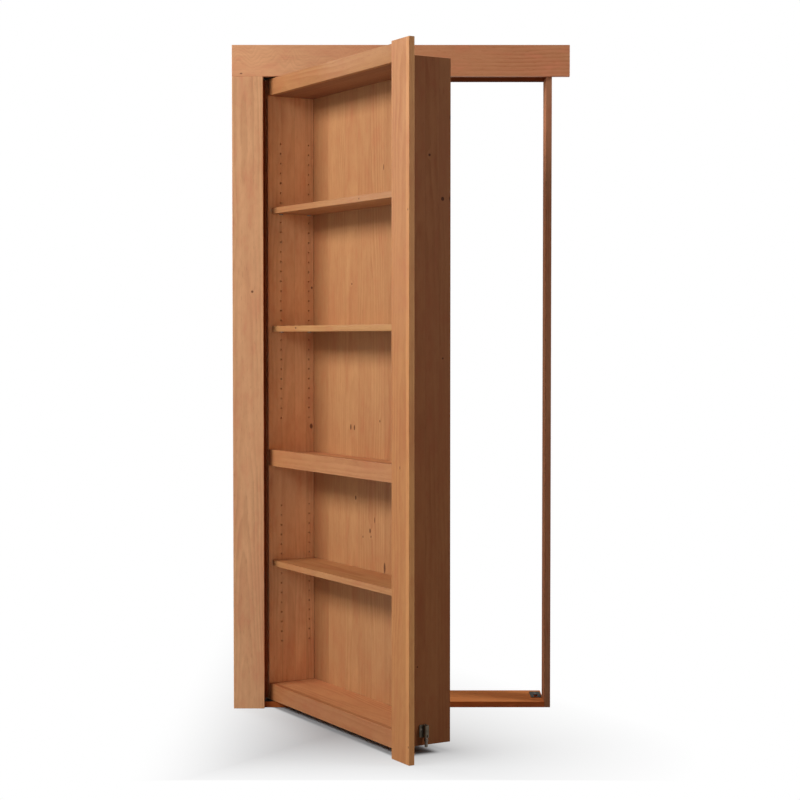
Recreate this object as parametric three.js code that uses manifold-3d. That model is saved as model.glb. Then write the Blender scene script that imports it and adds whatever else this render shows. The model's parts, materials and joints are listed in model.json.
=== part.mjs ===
// Hidden door bookcase: a bookcase that swings in a door frame on two pivots, shown turned open.
// Millimetres, +Z up, +X to the right and +Y away from the room. The origin is on the floor, in the
// middle of the doorway and halfway through the depth of the jambs.

import * as THREE from 'three';
import * as BufferGeometryUtils from 'three/addons/utils/BufferGeometryUtils.js';
import Module from 'manifold-3d';

const wasm = await Module();
wasm.setup();

// Door frame
const clearWidth = 916; // between the faces of the two jambs
const clearHeight = 2054; // floor to the underside of the head jamb
const jambThickness = 19;
const jambDepth = 114;
const sillThickness = 19;
const sillDepth = 188;
const casingWidth = 100;
const casingThickness = 18;
const headerHeight = 101;
const headerOverhang = 75; // past the face of the right jamb

// Bookcase box
const latchGap = 33.5; // closed box to the right jamb
const boxDepth = 172;
const boardThickness = 19;
const backThickness = 6;
const rabbetWidth = 9.5;
const sideFootGap = 12.5; // threshold to the underside of the sides
const midShelfTop = 834;

// Rails and closing trim
const railThickness = 19;
const railHeight = 53.5;
const railClearance = 1; // between a rail or the left side and a pivot plate
const midRailLip = 12; // above the mid shelf
const trimThickness = 18;
const trimLap = 13; // on the front edge of the right side
const trimFootGap = 1;
const trimHeadGap = 2;

// Adjustable shelves. Each stands on a row of pin holes, given as a share of the way up its rows.
const shelfThickness = 19;
const shelfSetback = 12; // behind the front of the box
const shelfBackGap = 1;
const shelfEndGap = 2.4;
const upperShelfShare = 0.75;
const secondShelfShare = 0.32;
const lowerShelfShare = 0.57;
const pinPitch = 32;
const pinFrontMargin = 46; // front column, behind the front of the box
const pinBackMargin = 18; // back column, in front of the back panel
const upperPinRise = 113.5; // first hole above the mid shelf
const upperPinHeadroom = 152.5;
const lowerPinRise = 135; // first hole above the bottom board
const lowerPinHeadroom = 155;
const pinRadius = 2.5;
const pinLength = 10;
const shelfPinEndGap = 1;
const ledgeDrop = 5; // underside of a shelf, below the axis of its pins
const ledgeThickness = 2;
const ledgeReach = 10;
const ledgeWidth = 12;
const ledgeLegThickness = 1.6;
const ledgeLegRise = 5; // above the axis of the pin

// Swing of the door
const swingClearance = 0.9; // between the turning corner of the box and the left jamb
const doorProud = 1; // box front in front of the jamb fronts when closed
const openAngle = THREE.MathUtils.degToRad(60); // as photographed, clockwise seen from above

// Pivot hardware
const pivotBehindRail = 6;
const pivotPinRadius = 6;
const bushWall = 1.7;
const bossWall = 3.7;
const bossSideGap = 1; // between a boss and the left side
const reliefGap = 1; // around the boss, in the back of a rail
const pivotPlateThickness = 3;
const pivotPlateReach = 36; // right of the pivot
const pivotPlateFrontReach = 22;
const pivotPlateBackReach = 34;
const leafThickness = 4;
const leafReach = 62;
const leafBackReach = 44;
const leafScrewInset = 12;
const washerThickness = 3;
const pivotPinEndGap = 1.5;
const upperBossGap = 4; // between the upper boss and the upper plate

// Drop bolt and its strike
const boltSetback = 83; // behind the front of the box
const boltGapShare = 0.36; // of the gap beside the right jamb, from the box
const boltRadius = 4.8;
const boltFoot = 28; // height of the bolt's end as photographed
const boltReach = 20; // into the barrel
const boltTipHeight = 3;
const boltTipChamfer = 1.2;
const collarLip = 1.7;
const collarDrop = 10; // below the barrel
const collarHeight = 5;
const barrelBottom = 56;
const barrelLength = 36;
const barrelWall = 2.5;
const barrelCapThickness = 3;
const studRise = 4.5; // above the barrel's lower end
const studRadius = 1.9;
const studProud = 4.4; // of the barrel
const studPlay = 1.6;
const bracketThickness = 3;
const bracketFrontReach = 17;
const bracketBackReach = 9;
const bracketScrewMargin = 5.5;
const bracketScrewShares = [0.35, 0.625]; // of the barrel's length
const springWall = 1.1;
const boltSlotGap = 1.7; // beside the bolt
const boltSlotFrontGap = 3.2;
const boltSlotBack = 26; // behind the bolt's axis
const strikeMargin = 10.5; // left of the slot
const strikeJambGap = 4.5;
const strikeFrontMargin = 8; // in front of the slot
const strikeLength = 90;
const strikeThickness = 2;

// Wood screws
const screwHeadRadius = 3.6;
const screwHeadHeight = 2;
const screwShankRadius = 1.8;
const screwLength = 14;
const screwTipLength = 3;
const screwMargin = 9;

// Clearances
const seat = 0.3; // between touching pieces inside the turned door, and round screws and pins
const overrun = 2; // how far a cutting shape runs past what it cuts

// Faces of a round shape
const roundSides = 24;
const screwSides = 10;
const pinHoleSides = 6;

// Places of the door frame
const jambFace = clearWidth / 2;
const jambFront = -jambDepth / 2;
const casingFront = jambFront - casingThickness;
const sillTop = sillThickness;

// Heights of the door
const railGap = pivotPlateThickness + railClearance;
const bottomBoardTop = sillTop + railGap + railHeight;
const bottomBoardBottom = bottomBoardTop - boardThickness;
const topRailTop = clearHeight - railGap;
const boxTop = topRailTop - railHeight + boardThickness;
const boxBottom = sillTop + sideFootGap;

// Places on the door, measured from its pivot as if it were closed
const bushRadius = pivotPinRadius + seat + bushWall;
const bossRadius = bushRadius + seat + bossWall;
const pivotInset = boardThickness + bossSideGap + bossRadius;
const pivotSetback = railThickness + pivotBehindRail;
const hingeGap = Math.hypot(pivotInset, pivotSetback) - pivotInset + swingClearance;
const boxWidth = clearWidth - hingeGap - latchGap;
const boxFront = -pivotSetback;
const boxBack = boxFront + boxDepth;
const boxLeft = -pivotInset;
const boxRight = boxLeft + boxWidth;
const insideLeft = boxLeft + boardThickness;
const insideRight = boxRight - boardThickness;
const insideBack = boxBack - backThickness;
const behindRails = boxFront + railThickness;
const boltX = boxRight + latchGap * boltGapShare;
const boltY = boxFront + boltSetback;

// Place of the pivot in the frame
const pivotX = -jambFace + hingeGap + pivotInset;
const pivotY = jambFront - doorProud + pivotSetback;

// Finishes
function woodFinish(color) {
  return new THREE.MeshStandardMaterial({ color, roughness: 0.5, metalness: 0 });
}

const casingWood = woodFinish(0xc48f64);
const jambWood = woodFinish(0xa86f4a);
const railWood = woodFinish(0xc28a5a);
const sideWood = woodFinish(0xa9713f);
const shelfWood = woodFinish(0xb37a4c);
const backWood = woodFinish(0xb5784b);
const blackSteel = new THREE.MeshStandardMaterial({ color: 0x3a3836, roughness: 0.45, metalness: 0.9 });
const brightSteel = new THREE.MeshStandardMaterial({ color: 0xb9b6ae, roughness: 0.3, metalness: 1 });
const nylon = new THREE.MeshStandardMaterial({ color: 0xe6e2d8, roughness: 0.55, metalness: 0 });

// The closed solid inside a three.js geometry
function solidOf(geometry) {
  const bare = geometry.clone();
  bare.deleteAttribute('normal');
  bare.deleteAttribute('uv');
  const merged = BufferGeometryUtils.mergeVertices(bare);
  return new wasm.Manifold(new wasm.Mesh({
    numProp: 3,
    vertProperties: new Float32Array(merged.attributes.position.array),
    triVerts: new Uint32Array(merged.index.array),
  }));
}

function geometryOf(solid) {
  const mesh = solid.getMesh();
  const positions = new Float32Array(mesh.vertProperties);
  const geometry = new THREE.BufferGeometry();
  geometry.setAttribute('position', new THREE.BufferAttribute(positions, mesh.numProp));
  geometry.setIndex(new THREE.BufferAttribute(new Uint32Array(mesh.triVerts), 1));
  geometry.computeVertexNormals();
  return geometry;
}

function cut(base, cutters) {
  let solid = solidOf(base);
  for (const cutter of cutters) {
    solid = solid.subtract(solidOf(cutter));
  }
  return geometryOf(solid);
}

function join(base, additions) {
  let solid = solidOf(base);
  for (const addition of additions) {
    solid = solid.add(solidOf(addition));
  }
  return geometryOf(solid);
}

// A board, from its lowest to its highest corner
function board(x0, x1, y0, y1, z0, z1) {
  const geometry = new THREE.BoxGeometry(x1 - x0, y1 - y0, z1 - z0);
  return geometry.translate((x0 + x1) / 2, (y0 + y1) / 2, (z0 + z1) / 2);
}

// A round bar standing at x, y from z0 to z1
function bar(radius, x, y, z0, z1, sides = roundSides) {
  const geometry = new THREE.CylinderGeometry(radius, radius, z1 - z0, sides);
  return geometry.rotateX(Math.PI / 2).translate(x, y, (z0 + z1) / 2);
}

// A round bar lying along X
function crossBar(radius, x0, x1, y, z, sides = roundSides) {
  const geometry = new THREE.CylinderGeometry(radius, radius, x1 - x0, sides);
  return geometry.rotateZ(Math.PI / 2).translate((x0 + x1) / 2, y, z);
}

// A shape turned about a standing axis at x, y from points of radius and height
function turned(points, x, y, sides = roundSides) {
  const profile = points.map(([radius, height]) => new THREE.Vector2(radius, height));
  return new THREE.LatheGeometry(profile, sides).rotateX(Math.PI / 2).translate(x, y, 0);
}

// A tube standing at x, y
function sleeve(innerRadius, outerRadius, x, y, z0, z1) {
  return turned([
    [innerRadius, z0],
    [outerRadius, z0],
    [outerRadius, z1],
    [innerRadius, z1],
    [innerRadius, z0],
  ], x, y);
}

// Countersunk wood screws. Their heads are flush at z = 0 before they are placed, with the point below.
const screwProfile = [
  [0, -screwLength],
  [screwShankRadius, screwTipLength - screwLength],
  [screwShankRadius, -screwHeadHeight],
  [screwHeadRadius, 0],
  [0, 0],
];
const screwHoleProfile = [
  [0, -screwLength - seat],
  [screwShankRadius + seat, screwTipLength - screwLength - seat],
  [screwShankRadius + seat, -screwHeadHeight],
  [screwHeadRadius + seat, 0],
  [screwHeadRadius + seat, overrun],
  [0, overrun],
];

// A screw is plain data with a place and the direction out of its head, which its holes share
function screwGeometry(profile, screw) {
  const heading = new THREE.Quaternion().setFromUnitVectors(up, screw.out);
  return turned(profile, 0, 0, screwSides).applyQuaternion(heading).translate(screw.x, screw.y, screw.z);
}

function screwHoles(screws) {
  return screws.map((screw) => screwGeometry(screwHoleProfile, screw));
}

const up = new THREE.Vector3(0, 0, 1);
const down = new THREE.Vector3(0, 0, -1);
const outward = new THREE.Vector3(1, 0, 0);

function add(group, name, material, geometry) {
  const mesh = new THREE.Mesh(geometry, material);
  mesh.name = name;
  group.add(mesh);
}

function addScrews(group, name, screws) {
  screws.forEach((screw, i) => {
    add(group, `${name}_${i + 1}`, brightSteel, screwGeometry(screwProfile, screw));
  });
}

const part = new THREE.Group();
const door = new THREE.Group();
door.position.set(pivotX, pivotY, 0);
door.rotation.z = -openAngle;
part.add(door);

// Slot for the bolt in the threshold and its strike plate, under the bolt of the closed door
const slotHalfWidth = boltRadius + boltSlotGap;
const slotFront = pivotY + boltY - boltRadius - boltSlotFrontGap;
const slotBack = pivotY + boltY + boltSlotBack;
const strikeX = pivotX + boltX;

function boltSlot(z0, z1) {
  const slotLeft = strikeX - slotHalfWidth;
  return board(slotLeft, strikeX + slotHalfWidth, slotFront, slotBack, z0 - overrun, z1 + overrun);
}

const strikeTop = sillTop + strikeThickness;
const strikeFront = slotFront - strikeFrontMargin;
const strikeBack = strikeFront + strikeLength;
const strikeScrewYs = [slotBack + screwMargin, strikeBack - screwMargin];
const strikeScrews = strikeScrewYs.map((y) => ({ x: strikeX, y, z: strikeTop, out: up }));

const lowerPlateTop = sillTop + pivotPlateThickness;
const upperPlateBottom = clearHeight - pivotPlateThickness;
const plateScrewX = pivotX + pivotPlateReach - screwMargin;
const plateFront = pivotY - pivotPlateFrontReach;
const plateBack = pivotY + pivotPlateBackReach;
const plateScrewYs = [plateFront + screwMargin, plateBack - screwMargin];
const lowerPlateScrews = plateScrewYs.map((y) => ({ x: plateScrewX, y, z: lowerPlateTop, out: up }));
const upperPlateScrews = plateScrewYs.map((y) => ({ x: plateScrewX, y, z: upperPlateBottom, out: down }));

// Door frame: jambs, head, threshold and casings
function addDoorFrame() {
  const outerFace = jambFace + jambThickness;
  const jambBack = jambFront + jambDepth;
  const frameTop = clearHeight + jambThickness;
  add(part, 'left_jamb', jambWood, board(-outerFace, -jambFace, jambFront, jambBack, 0, frameTop));
  add(part, 'right_jamb', jambWood, board(jambFace, outerFace, jambFront, jambBack, 0, frameTop));

  const head = board(-jambFace, jambFace, jambFront, jambBack, clearHeight, frameTop);
  add(part, 'head_jamb', jambWood, cut(head, screwHoles(upperPlateScrews)));

  const sill = board(-jambFace, jambFace, jambFront, jambFront + sillDepth, 0, sillTop);
  const sillCuts = [boltSlot(0, sillTop), ...screwHoles([...strikeScrews, ...lowerPlateScrews])];
  add(part, 'threshold', jambWood, cut(sill, sillCuts));

  const casingLeft = -jambFace - casingWidth;
  add(part, 'left_casing', casingWood, board(casingLeft, -jambFace, casingFront, jambFront, 0, clearHeight));
  const headerTop = clearHeight + headerHeight;
  const headerRight = jambFace + headerOverhang;
  const header = board(casingLeft, headerRight, casingFront, jambFront, clearHeight, headerTop);
  add(part, 'header_casing', casingWood, header);
}

// Strike plate on the threshold
function addStrike() {
  const strikeLeft = strikeX - slotHalfWidth - strikeMargin;
  const strikeRight = jambFace - strikeJambGap;
  const plate = board(strikeLeft, strikeRight, strikeFront, strikeBack, sillTop, strikeTop);
  const plateCuts = [boltSlot(sillTop, strikeTop), ...screwHoles(strikeScrews)];
  add(part, 'strike_plate', blackSteel, cut(plate, plateCuts));
  addScrews(part, 'strike_screw', strikeScrews);
}

// The halves of the pivots that stay with the door frame: a plate with its pin
function pivotPlate(plateBottom, plateTop, pinBottom, pinTop, screws) {
  const plateRight = pivotX + pivotPlateReach;
  const plate = board(-jambFace + seat, plateRight, plateFront, plateBack, plateBottom, plateTop);
  const pin = bar(pivotPinRadius, pivotX, pivotY, pinBottom, pinTop);
  return cut(join(plate, [pin]), screwHoles(screws));
}

const lowerBoreTop = bottomBoardBottom - seat - leafThickness;
const upperBoreBottom = boxTop + seat + leafThickness;

function addFramePivots() {
  const lowerPinTop = lowerBoreTop - pivotPinEndGap;
  const lowerPlate = pivotPlate(sillTop, lowerPlateTop, sillTop, lowerPinTop, lowerPlateScrews);
  add(part, 'lower_pivot_plate', blackSteel, lowerPlate);
  addScrews(part, 'lower_plate_screw', lowerPlateScrews);

  const upperPinBottom = upperBoreBottom + pivotPinEndGap;
  const upperPlate = pivotPlate(upperPlateBottom, clearHeight, upperPinBottom, clearHeight, upperPlateScrews);
  add(part, 'upper_pivot_plate', blackSteel, upperPlate);
  addScrews(part, 'upper_plate_screw', upperPlateScrews);

  const washerTop = lowerPlateTop + washerThickness;
  add(part, 'thrust_washer', nylon,
    sleeve(pivotPinRadius + seat, bossRadius, pivotX, pivotY, lowerPlateTop, washerTop));
}

// Heights of the rows of shelf pin holes, from the first up to no more than the last
function pinRows(first, last) {
  const heights = [];
  for (let z = first; z <= last; z += pinPitch) {
    heights.push(z);
  }
  return heights;
}

const upperRows = pinRows(midShelfTop + upperPinRise, boxTop - boardThickness - upperPinHeadroom);
const lowerRows = pinRows(bottomBoardTop + lowerPinRise, midShelfTop - boardThickness - lowerPinHeadroom);
const pinColumns = { front: boxFront + pinFrontMargin, back: insideBack - pinBackMargin };

function pinHoles(x0, x1) {
  return [...upperRows, ...lowerRows].flatMap((z) => (
    Object.values(pinColumns).map((y) => crossBar(pinRadius, x0, x1, y, z, pinHoleSides))
  ));
}

const pinHoleDepth = pinLength + shelfPinEndGap;

// Screws of the bolt's bracket, into the outer face of the right side
const bracketFace = boxRight + seat + bracketThickness;
const bracketFront = boltY - bracketFrontReach;
const bracketScrews = bracketScrewShares.map((share) => ({
  x: bracketFace,
  y: bracketFront + bracketScrewMargin,
  z: barrelBottom + barrelLength * share,
  out: outward,
}));

// The left side runs up and down to the pivot plates, as the rails do
function addSides() {
  const leftBottom = sillTop + railGap;
  const leftBoard = board(boxLeft, insideLeft, boxFront, boxBack, leftBottom, topRailTop);
  const leftRabbet = board(insideLeft - rabbetWidth, insideLeft + overrun, insideBack, boxBack + overrun,
    leftBottom - overrun, topRailTop + overrun);
  const leftCuts = [leftRabbet, ...pinHoles(insideLeft - pinHoleDepth, insideLeft + overrun)];
  add(door, 'left_side', sideWood, cut(leftBoard, leftCuts));

  const rightBoard = board(insideRight, boxRight, boxFront, boxBack, boxBottom, boxTop);
  const rightRabbet = board(insideRight - overrun, insideRight + rabbetWidth, insideBack, boxBack + overrun,
    boxBottom - overrun, boxTop + overrun);
  const rightCuts = [
    rightRabbet,
    ...pinHoles(insideRight - overrun, insideRight + pinHoleDepth),
    ...screwHoles(bracketScrews),
  ];
  add(door, 'right_side', sideWood, cut(rightBoard, rightCuts));
}

// The halves of the pivots that turn with the door: a leaf with its boss, and a bush in the boss
const leafScrewX = leafReach - leafScrewInset;
const leafScrewYs = [behindRails + leafScrewInset, leafBackReach - leafScrewInset];
const lowerLeafScrews = leafScrewYs.map((y) => ({ x: leafScrewX, y, z: lowerBoreTop, out: down }));
const upperLeafScrews = leafScrewYs.map((y) => ({ x: leafScrewX, y, z: upperBoreBottom, out: up }));

function pivotLeaf(leafBottom, leafTop, bossBottom, bossTop, screws) {
  const leaf = board(insideLeft + seat, leafReach, behindRails + seat, leafBackReach, leafBottom, leafTop);
  const boss = bar(bossRadius, 0, 0, Math.min(bossBottom, leafBottom), Math.max(bossTop, leafTop));
  return cut(join(leaf, [boss]), [
    bar(bushRadius + seat, 0, 0, bossBottom, bossTop),
    ...screwHoles(screws),
  ]);
}

function addDoorPivots() {
  const lowerBossBottom = lowerPlateTop + washerThickness + seat;
  const lowerLeafTop = lowerBoreTop + leafThickness;
  const lowerLeaf = pivotLeaf(lowerBoreTop, lowerLeafTop, lowerBossBottom, lowerBoreTop, lowerLeafScrews);
  add(door, 'lower_pivot_leaf', blackSteel, lowerLeaf);
  add(door, 'lower_bush', nylon,
    sleeve(pivotPinRadius + seat, bushRadius, 0, 0, lowerBossBottom + seat, lowerBoreTop - seat));
  addScrews(door, 'lower_leaf_screw', lowerLeafScrews);

  const upperBossTop = upperPlateBottom - upperBossGap;
  const upperLeafBottom = upperBoreBottom - leafThickness;
  const upperLeaf = pivotLeaf(upperLeafBottom, upperBoreBottom, upperBoreBottom, upperBossTop,
    upperLeafScrews);
  add(door, 'upper_pivot_leaf', blackSteel, upperLeaf);
  add(door, 'upper_bush', nylon,
    sleeve(pivotPinRadius + seat, bushRadius, 0, 0, upperBoreBottom + seat, upperBossTop - seat));
  addScrews(door, 'upper_leaf_screw', upperLeafScrews);
}

// Top, bottom, fixed shelf and back
function addBoards() {
  const x0 = insideLeft + seat;
  const x1 = insideRight - seat;
  const y0 = behindRails + seat;
  const y1 = insideBack - seat;
  const topBoard = board(x0, x1, y0, y1, boxTop - boardThickness, boxTop);
  add(door, 'top_board', sideWood, cut(topBoard, screwHoles(upperLeafScrews)));
  const bottomBoard = board(x0, x1, y0, y1, bottomBoardBottom, bottomBoardTop);
  add(door, 'bottom_board', shelfWood, cut(bottomBoard, screwHoles(lowerLeafScrews)));
  add(door, 'mid_shelf', shelfWood, board(x0, x1, y0, y1, midShelfTop - boardThickness, midShelfTop));
  add(door, 'back_panel', backWood, board(insideLeft - rabbetWidth + seat, insideRight + rabbetWidth - seat,
    insideBack + seat, boxBack, boxBottom, boxTop));
}

// Rails between the sides; the top and bottom ones are hollowed behind, where a pivot boss stands
function addRails() {
  const x0 = insideLeft + seat;
  const x1 = insideRight - seat;
  const rail = (top) => board(x0, x1, boxFront, behindRails, top - railHeight, top);
  const relief = (z0, z1) => board(x0 - overrun, bossRadius + reliefGap, -bossRadius - reliefGap,
    behindRails + overrun, z0, z1);
  const aboveBox = relief(boxTop, topRailTop + overrun);
  const belowBoard = relief(bottomBoardTop - railHeight - overrun, bottomBoardBottom);
  add(door, 'top_rail', railWood, cut(rail(topRailTop), [aboveBox]));
  add(door, 'mid_rail', railWood, rail(midShelfTop + midRailLip));
  add(door, 'bottom_rail', railWood, cut(rail(bottomBoardTop), [belowBoard]));
}

// The casing board fixed to the free edge, which hides the gap when the door is closed
function addClosingTrim() {
  const x0 = boxRight - trimLap;
  const back = boxFront - seat;
  add(door, 'closing_trim', casingWood,
    board(x0, x0 + casingWidth, back - trimThickness, back, trimFootGap, clearHeight - trimHeadGap));
}

// A metal shelf support: a pin in the side, a leg on it and a ledge under the shelf
function shelfSupport(face, side, y, pinHeight) {
  const ledgeTop = pinHeight - ledgeDrop - seat;
  const ledgeBottom = ledgeTop - ledgeThickness;
  const y0 = y - ledgeWidth / 2;
  const y1 = y + ledgeWidth / 2;
  const near = face + side * seat;
  const legFace = near + side * ledgeLegThickness;
  const far = legFace + side * ledgeReach;
  const pinEnd = face - side * pinLength;
  const legSpan = [Math.min(near, legFace), Math.max(near, legFace)];
  const ledgeSpan = [Math.min(near, far), Math.max(near, far)];
  const pinSpan = [Math.min(pinEnd, legFace), Math.max(pinEnd, legFace)];
  return join(board(...legSpan, y0, y1, ledgeBottom, pinHeight + ledgeLegRise), [
    board(...ledgeSpan, y0, y1, ledgeBottom, ledgeTop),
    crossBar(pinRadius - seat, ...pinSpan, y, pinHeight, pinHoleSides),
  ]);
}

function addShelf(name, rows, share) {
  const pinHeight = rows[Math.round(share * (rows.length - 1))];
  const underside = pinHeight - ledgeDrop;
  const shelf = board(insideLeft + shelfEndGap, insideRight - shelfEndGap, boxFront + shelfSetback,
    insideBack - shelfBackGap, underside, underside + shelfThickness);
  add(door, name, shelfWood, shelf);
  for (const [column, y] of Object.entries(pinColumns)) {
    add(door, `${name}_support_left_${column}`, brightSteel, shelfSupport(insideLeft, 1, y, pinHeight));
    add(door, `${name}_support_right_${column}`, brightSteel, shelfSupport(insideRight, -1, y, pinHeight));
  }
}

// Drop bolt low on the outer face of the free side
const barrelRadius = boltRadius + seat + barrelWall;
const barrelTop = barrelBottom + barrelLength;
const boreTop = barrelTop - barrelCapThickness;
const boltTop = barrelBottom + boltReach;
const studHeight = barrelBottom + studRise;

function addBoltBracket() {
  const x0 = boxRight + seat;
  const plate = board(x0, bracketFace, bracketFront, boltY + bracketBackReach, barrelBottom, barrelTop);
  const barrel = bar(barrelRadius, boltX, boltY, barrelBottom, barrelTop);
  const bridgeFront = boltY - barrelRadius / 2;
  const bridge = board(x0, boltX, bridgeFront, bridgeFront + barrelRadius, barrelBottom, barrelTop);
  const bore = bar(boltRadius + seat, boltX, boltY, barrelBottom - overrun, boreTop);
  const slotHalf = studRadius + seat;
  const slot = board(boltX, boltX + barrelRadius + overrun, boltY - slotHalf, boltY + slotHalf,
    barrelBottom - overrun, studHeight + studRadius + studPlay);
  const cuts = [bore, slot, ...screwHoles(bracketScrews)];
  add(door, 'bolt_bracket', blackSteel, cut(join(plate, [barrel, bridge]), cuts));
  addScrews(door, 'bracket_screw', bracketScrews);
}

function addBolt() {
  const collarRadius = boltRadius + collarLip;
  const collarBottom = barrelBottom - collarDrop;
  const collarTop = collarBottom + collarHeight;
  const rod = turned([
    [0, boltFoot],
    [boltRadius - boltTipChamfer, boltFoot],
    [boltRadius, boltFoot + boltTipHeight],
    [boltRadius, collarBottom],
    [collarRadius, collarBottom],
    [collarRadius, collarTop],
    [boltRadius, collarTop],
    [boltRadius, boltTop],
    [0, boltTop],
  ], boltX, boltY);
  const stud = crossBar(studRadius, boltX, boltX + barrelRadius + studProud, boltY, studHeight, screwSides);
  add(door, 'bolt', brightSteel, join(rod, [stud]));
  add(door, 'bolt_spring', brightSteel,
    sleeve(boltRadius - springWall, boltRadius, boltX, boltY, boltTop + seat, boreTop - seat));
}

addDoorFrame();
addStrike();
addFramePivots();
addSides();
addBoards();
addRails();
addClosingTrim();
addShelf('upper_shelf', upperRows, upperShelfShare);
addShelf('second_shelf', upperRows, secondShelfShare);
addShelf('lower_shelf', lowerRows, lowerShelfShare);
addDoorPivots();
addBoltBracket();
addBolt();

export default part;
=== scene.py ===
import bmesh
import bpy
import json
import math
from mathutils import Matrix, Vector

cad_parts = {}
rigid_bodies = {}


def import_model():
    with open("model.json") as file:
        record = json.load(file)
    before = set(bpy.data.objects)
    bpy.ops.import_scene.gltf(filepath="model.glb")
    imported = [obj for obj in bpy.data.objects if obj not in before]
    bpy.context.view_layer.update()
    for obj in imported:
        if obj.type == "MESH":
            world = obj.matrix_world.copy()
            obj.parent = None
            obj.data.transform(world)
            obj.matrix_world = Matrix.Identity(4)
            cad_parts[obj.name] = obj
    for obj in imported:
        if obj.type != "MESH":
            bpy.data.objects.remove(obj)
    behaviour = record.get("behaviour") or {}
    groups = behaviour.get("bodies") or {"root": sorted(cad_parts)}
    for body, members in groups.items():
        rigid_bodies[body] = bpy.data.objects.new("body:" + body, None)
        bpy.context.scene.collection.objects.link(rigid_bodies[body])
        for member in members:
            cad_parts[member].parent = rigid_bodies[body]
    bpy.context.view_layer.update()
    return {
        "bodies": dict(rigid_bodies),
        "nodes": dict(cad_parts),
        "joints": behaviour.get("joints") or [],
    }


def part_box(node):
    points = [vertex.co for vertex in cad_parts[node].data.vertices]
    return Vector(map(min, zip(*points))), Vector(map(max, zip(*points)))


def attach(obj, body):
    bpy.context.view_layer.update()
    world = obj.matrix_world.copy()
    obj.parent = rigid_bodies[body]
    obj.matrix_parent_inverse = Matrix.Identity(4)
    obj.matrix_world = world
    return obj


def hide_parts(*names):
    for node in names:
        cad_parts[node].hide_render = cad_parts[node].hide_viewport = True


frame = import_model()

print("frame loaded:", len(frame["nodes"]), "nodes")


# Sums on the sockets of a node tree

def linear(red, green, blue):  # from the 0 to 255 of a colour picker
    def one(value):
        value /= 255
        return value / 12.92 if value <= 0.04045 else ((value + 0.055) / 1.055) ** 2.4
    return (one(red), one(green), one(blue), 1.0)


class Wire:  # a socket that can be used in a sum
    def __init__(self, bench, socket):
        self.bench = bench
        self.socket = socket

    def sum(self, operation, *terms):
        return self.bench.add("ShaderNodeMath", dict(operation=operation), terms)

    def __add__(self, other):
        return self.sum("ADD", self, other)

    def __radd__(self, other):
        return self.sum("ADD", other, self)

    def __sub__(self, other):
        return self.sum("SUBTRACT", self, other)

    def __rsub__(self, other):
        return self.sum("SUBTRACT", other, self)

    def __mul__(self, other):
        return self.sum("MULTIPLY", self, other)

    def __rmul__(self, other):
        return self.sum("MULTIPLY", other, self)

    def __truediv__(self, other):
        return self.sum("DIVIDE", self, other)

    def __gt__(self, other):
        return self.sum("GREATER_THAN", self, other)

    def fraction(self):
        return self.sum("FRACT", self)

    def root(self):
        return self.sum("SQRT", self)

    def most(self, other):
        return self.sum("MAXIMUM", self, other)

    def ramp(self, start, end):  # smoothly from 0 at start to 1 at end, which may be the lower
        if start > end:
            return 1 - self.ramp(end, start)
        return self.bench.add("ShaderNodeMapRange", dict(interpolation_type="SMOOTHSTEP", clamp=True),
                              {"Value": self, "From Min": start, "From Max": end})


class Bench:  # a node tree, for a material, the world or a shape
    def __init__(self, tree):
        self.tree = tree

    def add(self, kind, settings=None, values=None, out=0):
        node = self.tree.nodes.new(kind)
        for key, value in (settings or {}).items():
            setattr(node, key, value)
        pairs = values.items() if isinstance(values, dict) else enumerate(values or ())
        for key, value in pairs:
            wires = value if isinstance(value, list) else [value]  # a list joins several
            if isinstance(wires[0], Wire):
                for wire in wires:
                    self.tree.links.new(wire.socket, node.inputs[key])
            else:
                node.inputs[key].default_value = value
        return Wire(self, node.outputs[out]) if node.outputs else None

    def parts(self, place):
        first = self.add("ShaderNodeSeparateXYZ", None, [place])
        return [Wire(self, socket) for socket in first.socket.node.outputs]

    def vector(self, x, y, z):
        return self.add("ShaderNodeCombineXYZ", None, [x, y, z])

    def blend(self, share, first, second, how="MIX"):
        return self.add("ShaderNodeMix", dict(data_type="RGBA", blend_type=how, clamp_factor=True),
                        {0: share, 6: first, 7: second}, out=2)

    def noise(self, place, detail=2.0, rough=0.5, scale=1.0):
        return self.add("ShaderNodeTexNoise", dict(noise_dimensions="3D"),
                        {"Vector": place, "Scale": scale, "Detail": detail, "Roughness": rough})

    def seenDirectly(self):  # 1 for what the camera sees, also in a mirror or through glass
        path = self.add("ShaderNodeLightPath", out="Is Camera Ray")
        rays = path.socket.node.outputs
        return path.most(Wire(self, rays["Is Glossy Ray"])).most(Wire(self, rays["Is Transmission Ray"]))


def newMaterial(name):
    material = bpy.data.materials.new(name)
    material.use_nodes = True
    material.node_tree.nodes.clear()
    return material, Bench(material.node_tree)


# Places on the door as if it were shut, measured from its pivot

swing = next(joint for joint in frame["joints"] if joint["name"] == "door_swing")
openAngle = math.radians(swing["range_deg"][1])  # from shut to the pose of the photograph
pivot = Vector((swing["pos_m"][0], swing["pos_m"][1], 0))
shutToOpen = Matrix.Translation(pivot) @ Matrix.Rotation(-openAngle, 4, "Z")
openToShut = shutToOpen.inverted()


def onDoor(node):
    return frame["nodes"][node].parent != frame["bodies"]["frame"]


def onShutDoor(bench, spot):
    return bench.add("ShaderNodeMapping", dict(vector_type="POINT"),
                     {"Vector": spot, "Location": openToShut.to_translation(), "Rotation": (0, 0, openAngle)})


def shutBox(node):  # lowest and highest corner on the shut door
    points = [openToShut @ corner.co for corner in frame["nodes"][node].data.vertices]
    low = Vector([min(point[i] for point in points) for i in range(3)])
    high = Vector([max(point[i] for point in points) for i in range(3)])
    return low, high


# Shape trees: their inputs are set by name, and they are made plain meshes before anything rides

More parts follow.
